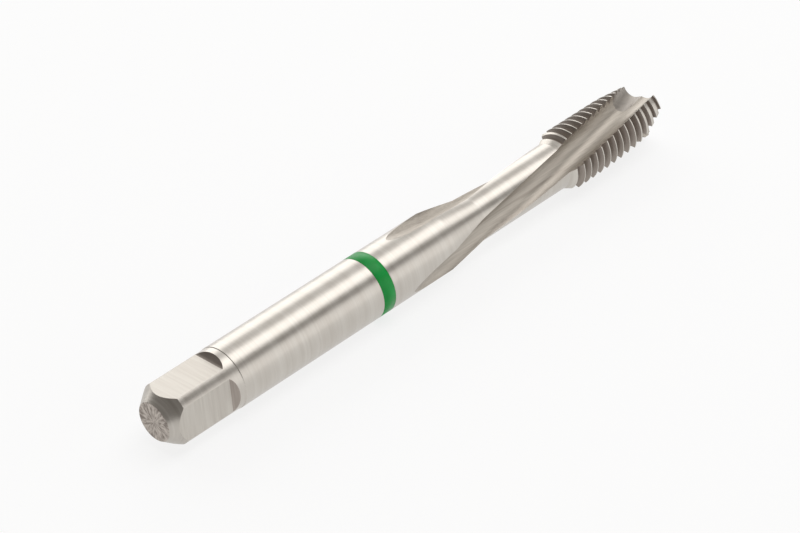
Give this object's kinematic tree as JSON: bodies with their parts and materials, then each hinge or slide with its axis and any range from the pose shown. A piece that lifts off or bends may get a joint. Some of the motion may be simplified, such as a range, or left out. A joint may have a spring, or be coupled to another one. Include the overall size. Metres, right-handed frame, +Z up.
{
  "type": "thread tap",
  "caption": "Machine tap for cutting an internal thread: round shank with a driving square, slim neck, slow helical flutes with a spiral point, and a green ring.",
  "frame": {"origin": "centre of the bounding box in X and Y, on the surface the tap lies on", "axes": "+X along the tap's axis from the driving square to the cutting tip, +Z up, square to one flat of the driving square"},
  "size_m": [0.1042, 0.01, 0.01],
  "materials": {
    "steel": "ground",
    "green_lacquer": "gloss"
  },
  "bodies": {
    "root": {"tap_body": "steel", "colour_ring": "green_lacquer"}
  },
  "joints": []
}
